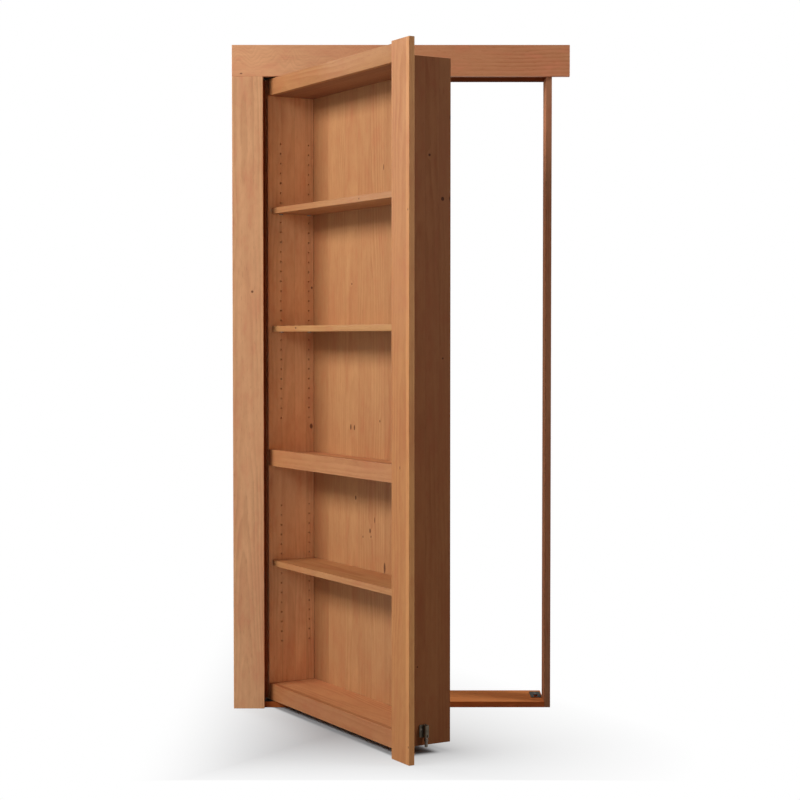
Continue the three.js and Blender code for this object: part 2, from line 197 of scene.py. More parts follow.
class ShapeTree(Bench):
    def __init__(self, name, inputs):
        super().__init__(bpy.data.node_groups.new(name, "GeometryNodeTree"))
        face = self.tree.interface
        for label, kind in {"Geometry": "Geometry", **inputs, "Material": "Material"}.items():
            face.new_socket(label, in_out="INPUT", socket_type="NodeSocket" + kind)
        face.new_socket("Geometry", in_out="OUTPUT", socket_type="NodeSocketGeometry")
        first = self.add("NodeGroupInput")
        self.given = {socket.name: Wire(self, socket) for socket in first.socket.node.outputs if socket.name}

    def end(self, shape):
        whole = self.add("GeometryNodeRealizeInstances", None, {"Geometry": shape})
        done = self.add("GeometryNodeSetMaterial", None, {
            "Geometry": whole, "Material": self.given["Material"]})
        self.add("NodeGroupOutput", None, {"Geometry": done})

    def placed(self, shape, x, z, turn=(0.0, 0.0, 0.0)):
        return self.add("GeometryNodeTransform", None, {
            "Geometry": shape, "Translation": self.vector(x, 0.0, z), "Rotation": turn})

    def run(self, mesh, **values):
        holder = bpy.data.objects.new("working", mesh)
        bpy.context.scene.collection.objects.link(holder)
        modifier = holder.modifiers.new("shape", "NODES")
        modifier.node_group = self.tree
        for socket in self.tree.interface.items_tree:
            key = socket.name.replace(" ", "")
            key = key[0].lower() + key[1:]
            if socket.in_out == "INPUT" and key in values:
                modifier[socket.identifier] = values[key]
        made = bpy.data.meshes.new_from_object(holder.evaluated_get(bpy.context.evaluated_depsgraph_get()))
        bpy.data.objects.remove(holder)
        return made


# Cherry wood

cherry = dict(  # a board's own entry in boards can say any of these otherwise
    light=linear(212, 152, 103),
    dark=linear(149, 84, 47),
    rosy=linear(193, 115, 78),
    knot=linear(78, 36, 18),
    # colour factors of the board; on some boards they hold painted shade, and on the left side painted light
    tone=(1, 1, 1),
    shade=0.36,  # of the plain wood, from 0 for light to 1 for dark
    darker=None,  # painted shade on part of a board: axis, where it starts, where it is full, how much is added to the shade (painted light where negative)
    rings=1,
    ringWidth=0.0085,
    ringShare=0.20,
    ringRise=(0.15, 0.85),
    ringFall=(1.0, 0.86),
    ringPatch=(0.25, 0.75),
    curls=None,  # start and end across the board, how often, how big, fade along it
    tilt=0.015,
    wander=0.035,
    drift=0.03,
    waver=0.009,
    pithSpread=0,
    staves=[],
    staveStep=0.63,
    staveShare=0.22,
    jointEdge=(6e-7, 5e-8),  # of the squared distance from the joint
    jointShare=0.16,
    knots=[],  # height, place across, radius, stretch, and "edge" for one on the board's edge
    knotBend=(4.5, 0.4),
    knotBendShare=0.9,
    knotEdge=(1.05, 0.65),
    knotShare=0.82,
    streakShare=0.18,
    fibreShare=0.18,
    cloudShare=0.34,
    mottleShare=0.30,
    dashShare=0.14,
    dashEdge=(0.63, 0.75),
    fleckShare=0.12,
    fleckEdge=(0.66, 0.76),
    rosyCloud=(0.45, 0.8),
    rosyCloudShare=0.35,
    rosyMottle=(0.48, 0.75),
    rosyMottleShare=0.3,
    rough=0.56,
    shine=0.25,
    relief=0.0004,
    reliefStrength=0.25,
    figures=dict(  # how often along and across the grain, which of them each stave shifts, detail, roughness
        waver=(6, 24, "across", 3.0),
        patch=(2.2, 7, "across", 2.0),
        streak=(1.4, 120, "along", 3.0, 0.6),
        fibre=(14, 620, "along", 2.0, 0.6),
        cloud=(3.4, 13, "across", 3.0, 0.55),
        mottle=(17, 46, "along", 3.0, 0.6),
        dash=(42, 330, "along", 1.0),
        fleck=(55, 1100, "across", 1.0),
    ),
)


def cherryWood(name, door, own):
    wood = {**cherry, **own}
    material, bench = newMaterial(name)
    spot = bench.add("ShaderNodeTexCoord", out="Object")
    if door:
        spot = onShutDoor(bench, spot)
    axes = dict(zip("xyz", bench.parts(spot)))
    along, across, through = (axes[letter] for letter in wood["grain"])

    stave = sum(across > edge for edge in wood["staves"])
    chance = bench.add("ShaderNodeTexWhiteNoise", dict(noise_dimensions="1D"), {"W": stave + wood["seed"]})
    chance = chance - 0.5
    first = stave * wood["staveStep"] + wood["seed"]

    def figure(name):
        long, wide, shifted, *quality = wood["figures"][name]
        place = dict(along=along * long, across=across * wide)
        place[shifted] = place[shifted] + first
        return bench.noise(bench.vector(place["along"], place["across"], through * wide), *quality)

    bend = 0
    knots = 0
    for height, side, size, stretch, *edge in wood["knots"]:
        aside = (through if edge else across) - side
        away = ((along - height) / stretch * ((along - height) / stretch) + aside * aside).root() / size
        bend = bend + away.ramp(*wood["knotBend"]) * size * wood["knotBendShare"]
        knots = away.ramp(*wood["knotEdge"]).most(knots)

    # slow bends of the pith along the board; the factors on first keep the two apart
    wander = bench.noise(bench.vector(along * 1.5, first, first * 1.3), 1.0) - 0.5
    drift = bench.noise(bench.vector(along * 2.3, first * 2.1, first), 1.0) - 0.5
    pithSide, pithDepth = wood["pith"]
    side = across - pithSide - chance * wood["pithSpread"] + drift * wood["drift"]
    depth = through + pithDepth + along * wood["tilt"] + wander * wood["wander"]
    radius = (side * side + depth * depth).root() + (figure("waver") - 0.5) * wood["waver"] + bend
    if wood["curls"]:
        start, end, often, size, *fade = wood["curls"]
        curl = bench.noise(bench.vector(along * often + first, across * often * 0.3, first), 2.0, 0.6) - 0.5
        radius = radius + curl * across.ramp(start, end) * size * along.ramp(*fade)
    phase = (radius / wood["ringWidth"]).fraction()
    late = phase.ramp(*wood["ringRise"]) * phase.ramp(*wood["ringFall"])
    late = late * figure("patch").ramp(*wood["ringPatch"])

    streak, fibre, cloud, mottle = (figure(name) for name in ("streak", "fibre", "cloud", "mottle"))
    dash = figure("dash").ramp(*wood["dashEdge"])
    fleck = figure("fleck").ramp(*wood["fleckEdge"])

    share = (wood["shade"] + late * wood["ringShare"] * wood["rings"]
             + (streak - 0.5) * wood["streakShare"] + (fibre - 0.5) * wood["fibreShare"]
             + (cloud - 0.5) * wood["cloudShare"] + (mottle - 0.5) * wood["mottleShare"]
             + dash * wood["dashShare"] + fleck * wood["fleckShare"]
             + chance * (wood["staveShare"] if wood["staves"] else 0))
    # painted shade added on part of a board; a negative amount paints light instead
    if wood["darker"]:
        axis, start, end, amount = wood["darker"]
        share = share + axes[axis].ramp(start, end) * amount
    colour = bench.blend(share, wood["light"], wood["dark"])
    rosy = (cloud.ramp(*wood["rosyCloud"]) * wood["rosyCloudShare"]
            + mottle.ramp(*wood["rosyMottle"]) * wood["rosyMottleShare"])
    colour = bench.blend(rosy, colour, wood["rosy"])
    joints = 0
    for edge in wood["staves"]:
        joints = ((across - edge) * (across - edge)).ramp(*wood["jointEdge"]).most(joints)
    if wood["staves"]:
        colour = bench.blend(joints * wood["jointShare"], colour, wood["knot"])
    if wood["knots"]:
        colour = bench.blend(knots * wood["knotShare"], colour, wood["knot"])
    # the board's tone, which holds painted shade on some boards and painted light on the left side
    colour = bench.blend(1.0, colour, (*wood["tone"], 1.0), "MULTIPLY")

    height = fibre * 0.5 + streak * 0.4 - fleck * 0.8 - joints
    bump = bench.add("ShaderNodeBump", None, {
        "Height": height, "Strength": wood["reliefStrength"], "Distance": wood["relief"]})
    shader = bench.add("ShaderNodeBsdfPrincipled", None, {
        "Base Color": colour, "Roughness": wood["rough"] + late * 0.08 + knots * 0.1, "Normal": bump,
        "Specular IOR Level": wood["shine"]})
    bench.add("ShaderNodeOutputMaterial", None, {"Surface": shader})
    return material


# Boards: each keeps the outline of its solid, and all but the flush ones get eased edges

easing = dict(radius=0.0011, steps=2, shortest=0.012, angle=1.0)  # the angle is in radians
flush = ("back_panel", "bottom_board")  # these keep sharp edges, as boards beside them lie flush
fit = 0.0003  # air between a piece and the face that it meets
samePoint = 1e-6


def meshOf(shape, name="working"):
    mesh = bpy.data.meshes.new(name)
    shape.to_mesh(mesh)
    shape.free()
    return mesh


def solidShape(node, door):
    shape = bmesh.new()
    shape.from_mesh(frame["nodes"][node].data)
    bmesh.ops.remove_doubles(shape, verts=shape.verts, dist=samePoint)
    if door:
        shape.transform(openToShut)
    bmesh.ops.dissolve_limit(shape, angle_limit=math.radians(1), verts=shape.verts, edges=shape.edges)
    return shape


def sideShape(node):  # a side with the rabbet for the back, and no holes yet
    low, high = shutBox(node)
    backLow, backHigh = shutBox("back_panel")
    if node == "left_side":
        outer, inner, step = low.x, high.x, backLow.x - fit
    else:
        outer, inner, step = high.x, low.x, backHigh.x + fit
    ledge = backLow.y - fit
    outline = [(outer, low.y), (inner, low.y), (inner, ledge), (step, ledge), (step, high.y), (outer, high.y)]
    shape = bmesh.new()
    foot = shape.faces.new([shape.verts.new((x, y, low.z)) for x, y in outline])
    risen = bmesh.ops.extrude_face_region(shape, geom=[foot])["geom"]
    top = [part for part in risen if isinstance(part, bmesh.types.BMVert)]
    bmesh.ops.translate(shape, verts=top, vec=(0, 0, high.z - low.z))
    bmesh.ops.recalc_face_normals(shape, faces=shape.faces)
    return shape


def ease(shape):
    sharp = [edge for edge in shape.edges if edge.is_manifold and edge.is_convex
             and edge.calc_length() > easing["shortest"] and edge.calc_face_angle(0) > easing["angle"]]
    bmesh.ops.bevel(shape, geom=sharp, offset=easing["radius"], segments=easing["steps"],
                    profile=0.5, affect="EDGES", clamp_overlap=True)
    return meshOf(shape)


# Rows of peg holes, drilled by a shape tree in the inner face of each side

pegs = dict(radius=0.0028, depth=0.012, pitch=0.032, frontMargin=0.046, backMargin=0.018,
            upperRise=0.1135, upperHeadroom=0.1525, lowerRise=0.135, lowerHeadroom=0.155, sides=14,
            slack=0.001)  # of a pitch, so that rounding costs no hole

drill = ShapeTree("pegRows", {"Start": "Vector", "Column Gap": "Float", "Pitch": "Float", "Count": "Int",
                              "Radius": "Float", "Depth": "Float", "Sides": "Int"})
given = drill.given
beside = drill.add("ShaderNodeVectorMath", dict(operation="ADD"), [
    given["Start"], drill.vector(0.0, given["Column Gap"], 0.0)])
columns = [drill.add("GeometryNodeMeshLine", dict(mode="OFFSET"), {
    "Count": given["Count"], "Start Location": start, "Offset": drill.vector(0.0, 0.0, given["Pitch"])})
    for start in (given["Start"], beside)]
bit = drill.add("GeometryNodeMeshCylinder", None, {
    "Vertices": given["Sides"], "Radius": given["Radius"], "Depth": given["Depth"] * 2.0})
holes = drill.add("GeometryNodeInstanceOnPoints", None, {
    "Points": drill.add("GeometryNodeJoinGeometry", None, {"Geometry": columns}),
    "Instance": bit, "Rotation": (0.0, math.pi / 2, 0.0)})
holes = drill.add("GeometryNodeRealizeInstances", None, {"Geometry": holes})
drill.end(drill.add("GeometryNodeMeshBoolean", dict(operation="DIFFERENCE", solver="EXACT"), {
    "Mesh 1": given["Geometry"], "Mesh 2": holes}))


def drilled(mesh, node, material):
    low, high = shutBox(node)
    face = high.x if node == "left_side" else low.x
    front = low.y + pegs["frontMargin"]
    gap = shutBox("back_panel")[0].y - fit - pegs["backMargin"] - front
    middle, bottom = shutBox("mid_shelf"), shutBox("bottom_board")
    rows = [(middle[1].z + pegs["upperRise"], shutBox("top_board")[0].z - pegs["upperHeadroom"]),
            (bottom[1].z + pegs["lowerRise"], middle[0].z - pegs["lowerHeadroom"])]
    for first, last in rows:
        count = int((last - first) / pegs["pitch"] + 1 + pegs["slack"])
        mesh = drill.run(mesh, start=(face, front, first), columnGap=gap, pitch=pegs["pitch"], count=count,
                         radius=pegs["radius"], depth=pegs["depth"], sides=pegs["sides"], material=material)
    return mesh


def newPiece(name, mesh, body, nodes, material):  # a door piece's mesh is that of the shut door
    if body != "frame":
        mesh.transform(shutToOpen)
    mesh.name = name
    mesh.materials.clear()
    mesh.materials.append(material)
    piece = bpy.data.objects.new(name, mesh)
    bpy.context.scene.collection.objects.link(piece)
    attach(piece, body)
    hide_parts(*nodes)
    return piece


boards = {
    # left jamb: the lowered tone and the darkening of all but its outer face are painted shade of the gap at the
    # hinge
    "left_jamb": dict(slot="jamb_wood", grain="zyx", seed=3.1, pith=(0.02, 0.06), shine=0.0,
                      tone=(0.64, 0.54, 0.5), darker=("x", -0.46, -0.4585, 1.0)),
    "right_jamb": dict(slot="jamb_wood", grain="zyx", seed=5.7, pith=(-0.01, 0.05), shine=0.0,
                       tone=(0.84, 0.88, 1.1)),
    # head jamb: the lowered tone and the darkened underside are painted shade
    "head_jamb": dict(slot="jamb_wood", grain="xyz", seed=7.3, pith=(0.01, -1.99), shine=0.0,
                      tone=(0.54, 0.46, 0.44), darker=("z", 2.056, 2.0545, 1.0)),
    # threshold: its darkened front face is painted shade from the open door
    "threshold": dict(slot="jamb_wood", grain="xyz", seed=9.9, pith=(0.03, 0.04), shine=0.0,
                      tone=(1.62, 1.38, 1.12), darker=("y", -0.0558, -0.0570, 0.9)),
    "left_casing": dict(slot="casing_wood", grain="zxy", seed=12.3, pith=(-0.52, 0.10), tilt=0.02,
                        tone=(1.46, 1.76, 2.1), knots=[(1.36, -0.494, 0.0045, 1.0)]),
    # header: darker towards the right, a painted shadow of the open door
    "header_casing": dict(slot="casing_wood", grain="xzy", seed=17.9, pith=(2.27, 0.05), tilt=-0.02,
                          tone=(1.43, 1.6, 1.9), darker=("x", -0.2, 0.1, 0.38), ringWidth=0.0125, rings=0.8,
                          curls=(2.045, 2.12, 13, 0.16, 0.12, -0.16),
                          knots=[(-0.528, 2.063, 0.0024, 2.0)]),
    # trim: the negative amount lightens its free edge, painted light
    "closing_trim": dict(slot="casing_wood", grain="zxy", seed=23.3, pith=(0.90, 0.09), tilt=0.02,
                         tone=(0.88, 0.82, 0.63), darker=("x", 0.9095, 0.911, -0.3),
                         knots=[(0.842, 0.876, 0.0022, 2.5), (1.57, 0.921, 0.002, 2.0),
                                (0.053, 0.924, 0.0025, 1.6)]),
    "top_rail": dict(slot="rail_wood", grain="xzy", seed=29.1, pith=(2.0, 0.06), tone=(0.80, 0.81, 0.72)),
    "mid_rail": dict(slot="rail_wood", grain="xzy", seed=31.7, pith=(0.84, 0.06), tone=(0.86, 0.83, 0.76)),
    "bottom_rail": dict(slot="rail_wood", grain="xzy", seed=37.3, pith=(0.03, 0.06), tone=(0.79, 0.71, 0.62)),
    # left side: the raised tone and low shade are painted light on its inner face
    "left_side": dict(slot="side_wood", grain="zyx", seed=41.9, pith=(0.06, 0.06), pithSpread=0.06,
                      tone=(1.56, 1.93, 2.26), shade=0.2, staves=[0.022, 0.071, 0.112],
                      knots=[(0.918, 0.131, 0.006, 1.6), (1.376, 0.134, 0.0038, 1.2)]),
    # right side: the low tone is painted shade of the trim over its outer face
    "right_side": dict(slot="side_wood", grain="zyx", seed=43.1, pith=(0.05, -0.78), pithSpread=0.06,
                       tone=(0.50, 0.415, 0.355), shine=0.08, staves=[0.016, 0.062, 0.108],
                       knots=[(1.735, 0.0755, 0.0045, 1.0), (1.611, 0.1195, 0.0062, 1.1),
                              (1.612, 0.1465, 0.0055, 1.6), (1.845, 0.1465, 0.004, 2.4),
                              (1.151, 0.1205, 0.0035, 1.0), (0.261, 0.0355, 0.003, 1.0)]),
    # top board: the low tone is painted shade on its underside
    "top_board": dict(slot="side_wood", grain="xyz", seed=47.7, pith=(0.05, -1.95), pithSpread=0.06,
                      tone=(0.55, 0.5, 0.48), staves=[0.035, 0.092]),
    "bottom_board": dict(slot="shelf_wood", grain="xyz", seed=53.1, pith=(0.05, 0.0), pithSpread=0.06,
                         tone=(1.11, 1.11, 1.1), staves=[0.028, 0.085]),
    "mid_shelf": dict(slot="shelf_wood", grain="xyz", seed=59.9, pith=(0.05, -0.75), pithSpread=0.06,
                      tone=(1.0, 1.0, 1.0), staves=[0.041, 0.098]),
    "upper_shelf": dict(slot="shelf_wood", grain="xyz", seed=61.3, pith=(0.05, -1.55), pithSpread=0.06,
                        tone=(0.77, 0.77, 0.7), staves=[0.031, 0.09],
                        knots=[(0.58, 1.624, 0.003, 1.2, "edge")]),
    "second_shelf": dict(slot="shelf_wood", grain="xyz", seed=67.7, pith=(0.05, -1.18), pithSpread=0.06,
                         tone=(0.94, 1.05, 0.93), staves=[0.044, 0.101],
                         knots=[(0.161, 1.242, 0.0042, 1.2, "edge")]),
    "lower_shelf": dict(slot="shelf_wood", grain="xyz", seed=71.1, pith=(0.05, -0.4), pithSpread=0.06,
                        tone=(0.87, 0.88, 0.78), staves=[0.025, 0.088]),
    "back_panel": dict(slot="back_wood", grain="zxy", seed=79.3, pith=(0.4, 0.0), pithSpread=0.4,
                       tone=(0.91, 0.98, 0.95), staves=[0.090, 0.207, 0.292, 0.378, 0.462, 0.551, 0.64, 0.735],
                       knots=[(0.926, 0.244, 0.0055, 1.9), (0.925, 0.268, 0.005, 1.9),
                              (0.952, 0.433, 0.0038, 1.2), (1.382, 0.252, 0.004, 1.0),
                              (1.735, 0.4575, 0.0024, 4.5), (0.702, 0.276, 0.006, 1.3),
                              (0.641, 0.400, 0.003, 3.5), (0.605, 0.370, 0.0058, 1.5),
                              (0.587, 0.376, 0.0035, 1.2), (0.582, 0.324, 0.003, 1.4),
                              (0.498, 0.4625, 0.0066, 2.9)]),
}

for node, wood in boards.items():
    door = onDoor(node)
    material = cherryWood(node + "Wood", door, wood)
    if node in ("left_side", "right_side"):
        mesh = drilled(ease(sideShape(node)), node, material)
    else:
        shape = solidShape(node, door)
        mesh = meshOf(shape) if node in flush else ease(shape)
    newPiece(node + "Board", mesh, "door" if door else "frame", [node], material)
print("boards made:", len(boards))


# Metal and nylon

metals = dict(
    bright_steel=dict(colour=linear(178, 176, 170), worn=linear(120, 116, 108), rough=0.32),
    black_steel=dict(colour=linear(46, 42, 34), worn=linear(62, 55, 44), rough=0.8),
    aged_steel=dict(colour=linear(92, 84, 72), worn=linear(66, 58, 46), rough=0.5),
    dull_steel=dict(colour=linear(100, 91, 82), worn=linear(74, 66, 58), rough=0.42),
)


brushing = dict(across=900, along=60, smear=60, brushedShare=0.5, smearShare=0.6, smearEdge=(0.4, 0.75),
                relief=0.0002, reliefStrength=0.2, roughSpread=0.25)


def steel(name, finish):
    material, bench = newMaterial(name)
    spot = bench.add("ShaderNodeTexCoord", out="Object")
    x, y, z = bench.parts(spot)
    often, slow, wide = brushing["across"], brushing["along"], brushing["smear"]
    brushed = bench.noise(bench.vector(x * often, y * often, z * slow), 2.0)
    smear = bench.noise(bench.vector(x * wide, y * wide, z * wide), 3.0)
    share = ((brushed - 0.5) * brushing["brushedShare"]
             + smear.ramp(*brushing["smearEdge"]) * brushing["smearShare"])
    colour = bench.blend(share, finish["colour"], finish["worn"])
    bump = bench.add("ShaderNodeBump", None, {
        "Height": brushed, "Strength": brushing["reliefStrength"], "Distance": brushing["relief"]})
    shader = bench.add("ShaderNodeBsdfPrincipled", None, {
        "Base Color": colour, "Roughness": finish["rough"] + (smear - 0.5) * brushing["roughSpread"],
        "Metallic": 1.0, "Normal": bump})
    bench.add("ShaderNodeOutputMaterial", None, {"Surface": shader})
    return material


nylon = dict(light=linear(232, 228, 218), dark=linear(212, 207, 196), grain=400, rough=0.5, roughSpread=0.2,
             relief=0.0002, reliefStrength=0.15)


def moulded(name, look):
    material, bench = newMaterial(name)
    spot = bench.add("ShaderNodeTexCoord", out="Object")
    grain = bench.noise(spot, 3.0, scale=look["grain"])
    colour = bench.blend(grain, look["light"], look["dark"])
    bump = bench.add("ShaderNodeBump", None, {
        "Height": grain, "Strength": look["reliefStrength"], "Distance": look["relief"]})
    shader = bench.add("ShaderNodeBsdfPrincipled", None, {
        "Base Color": colour, "Roughness": look["rough"] + (grain - 0.5) * look["roughSpread"], "Normal": bump})
    bench.add("ShaderNodeOutputMaterial", None, {"Surface": shader})
    return material


finishes = {name: steel(name, finish) for name, finish in metals.items()}
finishes["nylon"] = moulded("nylon", nylon)


# Screws with a cross in the head, from a shape tree that places a row of them

screws = dict(headRadius=0.0036, headHeight=0.002, shankRadius=0.0018, tipRadius=0.0003, length=0.014,
              crown=0.0003, crownShare=0.72, armLength=1.1, armWidth=0.24, armDepth=1.3, headSides=24,
              shankSides=16)

driver = ShapeTree("crossHeadScrews", {
    "Start": "Vector", "Step": "Vector", "Count": "Int", "Turn": "Vector", "Head Radius": "Float",
    "Head Height": "Float", "Shank Radius": "Float", "Tip Radius": "Float", "Length": "Float", "Crown": "Float",
    "Crown Share": "Float", "Arm Length": "Float", "Arm Width": "Float", "Arm Depth": "Float",
    "Head Sides": "Int", "Shank Sides": "Int"})
given = driver.given
head = driver.add("GeometryNodeMeshCone", None, {
    "Vertices": given["Head Sides"], "Radius Top": given["Head Radius"], "Radius Bottom": given["Shank Radius"],
    "Depth": given["Head Height"]})
crown = driver.add("GeometryNodeMeshCone", None, {
    "Vertices": given["Head Sides"], "Radius Top": given["Head Radius"] * given["Crown Share"],
    "Radius Bottom": given["Head Radius"], "Depth": given["Crown"]})
head = driver.add("GeometryNodeMeshBoolean", dict(operation="UNION", solver="EXACT"), {
    "Mesh 2": [driver.placed(head, 0.0, given["Head Height"] * -1.0), crown]})
arm = driver.vector(given["Head Radius"] * given["Arm Length"], given["Head Radius"] * given["Arm Width"],
                    given["Head Height"] * given["Arm Depth"])
arms = [driver.add("GeometryNodeMeshCube", None, {"Size": arm})]
arms.append(driver.placed(arms[0], 0.0, 0.0, (0.0, 0.0, math.pi / 2)))
head = driver.add("GeometryNodeMeshBoolean", dict(operation="DIFFERENCE", solver="EXACT"), {
    "Mesh 1": head, "Mesh 2": arms})
shank = driver.add("GeometryNodeMeshCone", None, {
    "Vertices": given["Shank Sides"], "Radius Top": given["Shank Radius"], "Radius Bottom": given["Tip Radius"],
    "Depth": given["Length"] - given["Head Height"]})
whole = driver.add("GeometryNodeJoinGeometry", None, {"Geometry": [
    head, driver.placed(shank, 0.0, given["Length"] * -1.0)]})
row = driver.add("GeometryNodeMeshLine", dict(mode="OFFSET"), {
    "Count": given["Count"], "Start Location": given["Start"], "Offset": given["Step"]})
driver.end(driver.add("GeometryNodeInstanceOnPoints", None, {
    "Points": row, "Instance": whole, "Rotation": given["Turn"]}))

screwRows = {  # the way the heads face
    "strike_screw": "up", "lower_plate_screw": "up", "upper_plate_screw": "down",
    "lower_leaf_screw": "down", "upper_leaf_screw": "up", "bracket_screw": "out",
}
turns = {"up": (0.0, 0.0, 0.4), "down": (math.pi, 0.0, 0.4), "out": (0.3, math.pi / 2, 0.0)}


def headPlace(node, door, way):
    low, high = shutBox(node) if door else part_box(node)
    middle = (low + high) / 2
    return {"up": Vector((middle.x, middle.y, high.z)), "down": Vector((middle.x, middle.y, low.z)),
            "out": Vector((high.x, middle.y, middle.z))}[way]


for name, way in screwRows.items():
    nodes = [name + "_1", name + "_2"]
    door = onDoor(nodes[0])
    first, second = (headPlace(node, door, way) for node in nodes)
    mesh = driver.run(bpy.data.meshes.new("working"), start=first, step=second - first, count=len(nodes),
                      turn=turns[way], material=finishes["dull_steel"], **screws)
    newPiece(name + "s", mesh, "door" if door else "frame", nodes, finishes["dull_steel"])
print("screws made:", 2 * len(screwRows))


# Shelf clips: a pin, a leg and a rounded tongue under the shelf, from a shape tree on twelve points

clip = dict(width=0.012, reach=0.0116, rise=0.0123, thickness=0.0016, tongue=0.002, pinRadius=0.0022,
            pinLength=0.0103, drop=0.0073, rivetTop=0.8, rivetFoot=1.4, rivetHeight=0.0006, roundSides=32,
            pinSides=20)

clipper = ShapeTree("shelfClips", {
    "Width": "Float", "Reach": "Float", "Rise": "Float", "Thickness": "Float", "Tongue": "Float",
    "Pin Radius": "Float", "Pin Length": "Float", "Drop": "Float", "Rivet Top": "Float", "Rivet Foot": "Float",
    "Rivet Height": "Float", "Round Sides": "Int", "Pin Sides": "Int"})
given = clipper.given
half = given["Width"] * 0.5
leg = clipper.add("GeometryNodeMeshCube", None, {
    "Size": clipper.vector(given["Thickness"], given["Width"], given["Rise"] - half)})
shoulder = clipper.add("GeometryNodeMeshCylinder", None, {
    "Vertices": given["Round Sides"], "Radius": half, "Depth": given["Thickness"]})
flat = clipper.add("GeometryNodeMeshCube", None, {
    "Size": clipper.vector(given["Reach"] - half, given["Width"], given["Tongue"])})
tip = clipper.add("GeometryNodeMeshCylinder", None, {
    "Vertices": given["Round Sides"], "Radius": half, "Depth": given["Tongue"]})
pin = clipper.add("GeometryNodeMeshCylinder", None, {
    "Vertices": given["Pin Sides"], "Radius": given["Pin Radius"],
    "Depth": given["Pin Length"] + given["Thickness"]})
rivet = clipper.add("GeometryNodeMeshCone", None, {
    "Vertices": given["Pin Sides"], "Radius Top": given["Pin Radius"] * given["Rivet Top"],
    "Radius Bottom": given["Pin Radius"] * given["Rivet Foot"], "Depth": given["Rivet Height"]})
across = (0.0, math.pi / 2, 0.0)
bodyTop = given["Rise"] - given["Drop"] - half
middle = given["Thickness"] * 0.5
whole = clipper.add("GeometryNodeMeshBoolean", dict(operation="UNION", solver="EXACT"), {"Mesh 2": [
    clipper.placed(leg, middle, bodyTop - (given["Rise"] - half) * 0.5),
    clipper.placed(shoulder, middle, bodyTop, across),
    clipper.placed(flat, (given["Reach"] - half) * 0.5, given["Tongue"] * 0.5 - given["Drop"]),
    clipper.placed(tip, given["Reach"] - half, given["Tongue"] * 0.5 - given["Drop"]),
    clipper.placed(pin, (given["Thickness"] - given["Pin Length"]) * 0.5, 0.0, across),
    clipper.placed(rivet, given["Thickness"] * 0.98, 0.0, across)]})  # sunk a little into the leg
turn = clipper.add("GeometryNodeInputNamedAttribute", dict(data_type="FLOAT"), {"Name": "turn"})
clipper.end(clipper.add("GeometryNodeInstanceOnPoints", None, {
    "Points": given["Geometry"], "Instance": whole, "Rotation": clipper.vector(0.0, 0.0, turn)}))

clips = []
for shelf in ("upper_shelf", "second_shelf", "lower_shelf"):
    for place in ("left_front", "left_back", "right_front", "right_back"):
        clips.append(f"{shelf}_support_{place}")
points = bpy.data.meshes.new("clipPoints")
faces = {"left": shutBox("left_side")[1].x + fit, "right": shutBox("right_side")[0].x - fit}
spots = []
for node in clips:
    low, high = shutBox(node)
    spots.append((faces["left" if "_left_" in node else "right"], (low.y + high.y) / 2, low.z + clip["drop"]))
points.from_pydata(spots, [], [])
turned = points.attributes.new("turn", "FLOAT", "POINT")
turned.data.foreach_set("value", [0.0 if "_left_" in node else math.pi for node in clips])
mesh = clipper.run(points, material=finishes["bright_steel"], **clip)
newPiece("shelfClips", mesh, "door", clips, finishes["bright_steel"])
print("shelf clips made:", len(clips))


# Drop bolt: a barrel on a plate, and the rod with its collar and knob

def turnedShape(profile, x, y, steps=40):  # closed profile of radius and height, round a standing axis
    shape = bmesh.new()
    points = [shape.verts.new((radius, 0, height)) for radius, height in profile]
    edges = [shape.edges.new(pair) for pair in zip(points, points[1:])]
    bmesh.ops.spin(shape, geom=points + edges, cent=(0, 0, 0), axis=(0, 0, 1), angle=2 * math.pi, steps=steps,
                   use_merge=True)
    bmesh.ops.remove_doubles(shape, verts=shape.verts, dist=samePoint)
    bmesh.ops.recalc_face_normals(shape, faces=shape.faces)
    bmesh.ops.translate(shape, verts=shape.verts, vec=(x, y, 0))
    return shape


def outwardShape(profile, place, steps=24):  # the same, laid along x and moved to its place
    shape = turnedShape(profile, 0, 0, steps)
    bmesh.ops.rotate(shape, verts=shape.verts, cent=(0, 0, 0), matrix=Matrix.Rotation(math.pi / 2, 3, "Y"))
    bmesh.ops.translate(shape, verts=shape.verts, vec=place)
    return shape


def blockShape(low, high, radius=0.0, along=None):  # a block, with the edges that run one way rounded
    shape = bmesh.new()
    bmesh.ops.create_cube(shape, size=1)
    bmesh.ops.scale(shape, verts=shape.verts, vec=high - low)
    bmesh.ops.translate(shape, verts=shape.verts, vec=(low + high) / 2)
    if radius:
        edges = [edge for edge in shape.edges
                 if along is None or abs((edge.verts[0].co - edge.verts[1].co).normalized()[along]) > 0.9]
        bmesh.ops.bevel(shape, geom=edges, offset=radius, segments=5, profile=0.5, affect="EDGES")
    return shape


def carved(base, joined, cuts):
    holder = bpy.data.objects.new("working", meshOf(base))
    bpy.context.scene.collection.objects.link(holder)
    helpers = []
    for shapes, operation in ((joined, "UNION"), (cuts, "DIFFERENCE")):
        for shape in shapes:
            helper = bpy.data.objects.new("helper", meshOf(shape))
            bpy.context.scene.collection.objects.link(helper)
            helpers.append(helper)
            modifier = holder.modifiers.new("cut", "BOOLEAN")
            modifier.operation = operation
            modifier.solver = "EXACT"
            modifier.object = helper
    made = bpy.data.meshes.new_from_object(holder.evaluated_get(bpy.context.evaluated_depsgraph_get()))
    for helper in helpers + [holder]:
        bpy.data.objects.remove(helper)
    return made


latch = dict(
    plate=0.003, plateCorner=0.0024, web=0.6, webSetback=0.0005, barrel=0.0076, chamfer=0.0005,
    bore=0.0051, roof=0.003, slotHalf=0.0022, slotCorner=0.0015, slotRoom=0.0035, past=0.002,
    screwHole=0.0039, screwShank=0.55, screwSink=0.002, screwDepth=0.0035, screwPast=0.001,
    rod=0.0048, tip=[(-0.0014, 0), (-0.0004, 0.0016), (0, 0.003)],
    collar=0.0065, collarRise=0.018, collarHeight=0.005,
    stud=0.0019, studRise=0.0325, studEdge=0.0006)

